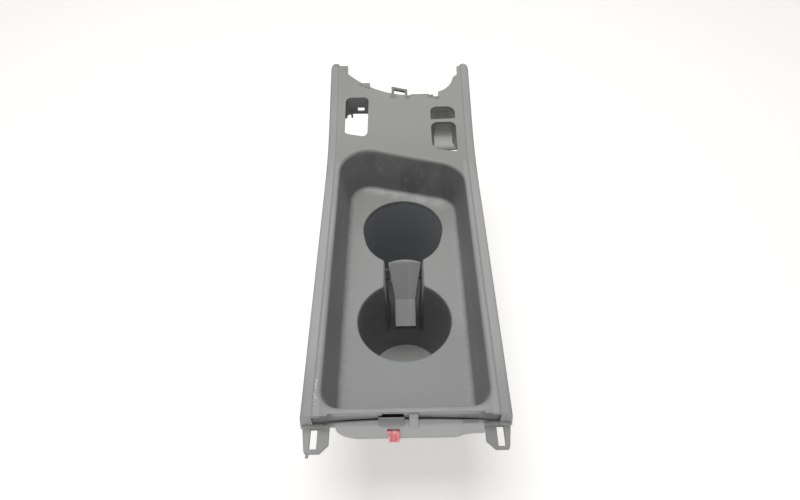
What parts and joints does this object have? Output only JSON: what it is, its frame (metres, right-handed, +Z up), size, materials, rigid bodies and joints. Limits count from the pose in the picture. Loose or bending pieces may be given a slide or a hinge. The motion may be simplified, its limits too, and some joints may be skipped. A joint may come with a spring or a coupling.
{
  "type": "car centre console cup holder panel",
  "caption": "Upper trim panel of a car centre console with a deep tray, cup wells joined by a channel, a sprung cup retainer flap, switch openings and rear snap tabs.",
  "frame": {"origin": "under the middle of the part, on the plane of the well bottoms", "axes": "+Y along the panel to the horned end, +X to the right seen from the rear, +Z up"},
  "size_m": [0.149, 0.4062, 0.1756],
  "materials": {
    "panel_plastic": "fine grained warm grey",
    "flap_plastic": "fine grained mid grey",
    "pocket_plastic": "satin grey",
    "clip_plastic": "pinkish red",
    "pin_steel": "dark phosphate"
  },
  "bodies": {
    "panel": {"console_panel": "panel_plastic", "switch_pocket": "pocket_plastic", "retaining_clip": "clip_plastic", "flap_pivot_pin": "pin_steel", "flap_torsion_spring": "pin_steel"},
    "flap": {"cup_retainer_flap": "flap_plastic"}
  },
  "joints": [
    {"name": "flap_hinge", "type": "hinge", "parent": "panel", "child": "flap", "pos_m": [0, -0.0165, 0.083], "axis": [1, 0, 0], "range_deg": [0, 36], "stiffness_Nm_per_rad": 0.06, "springref_deg": -34.38, "deforming": ["flap_torsion_spring"]}
  ]
}
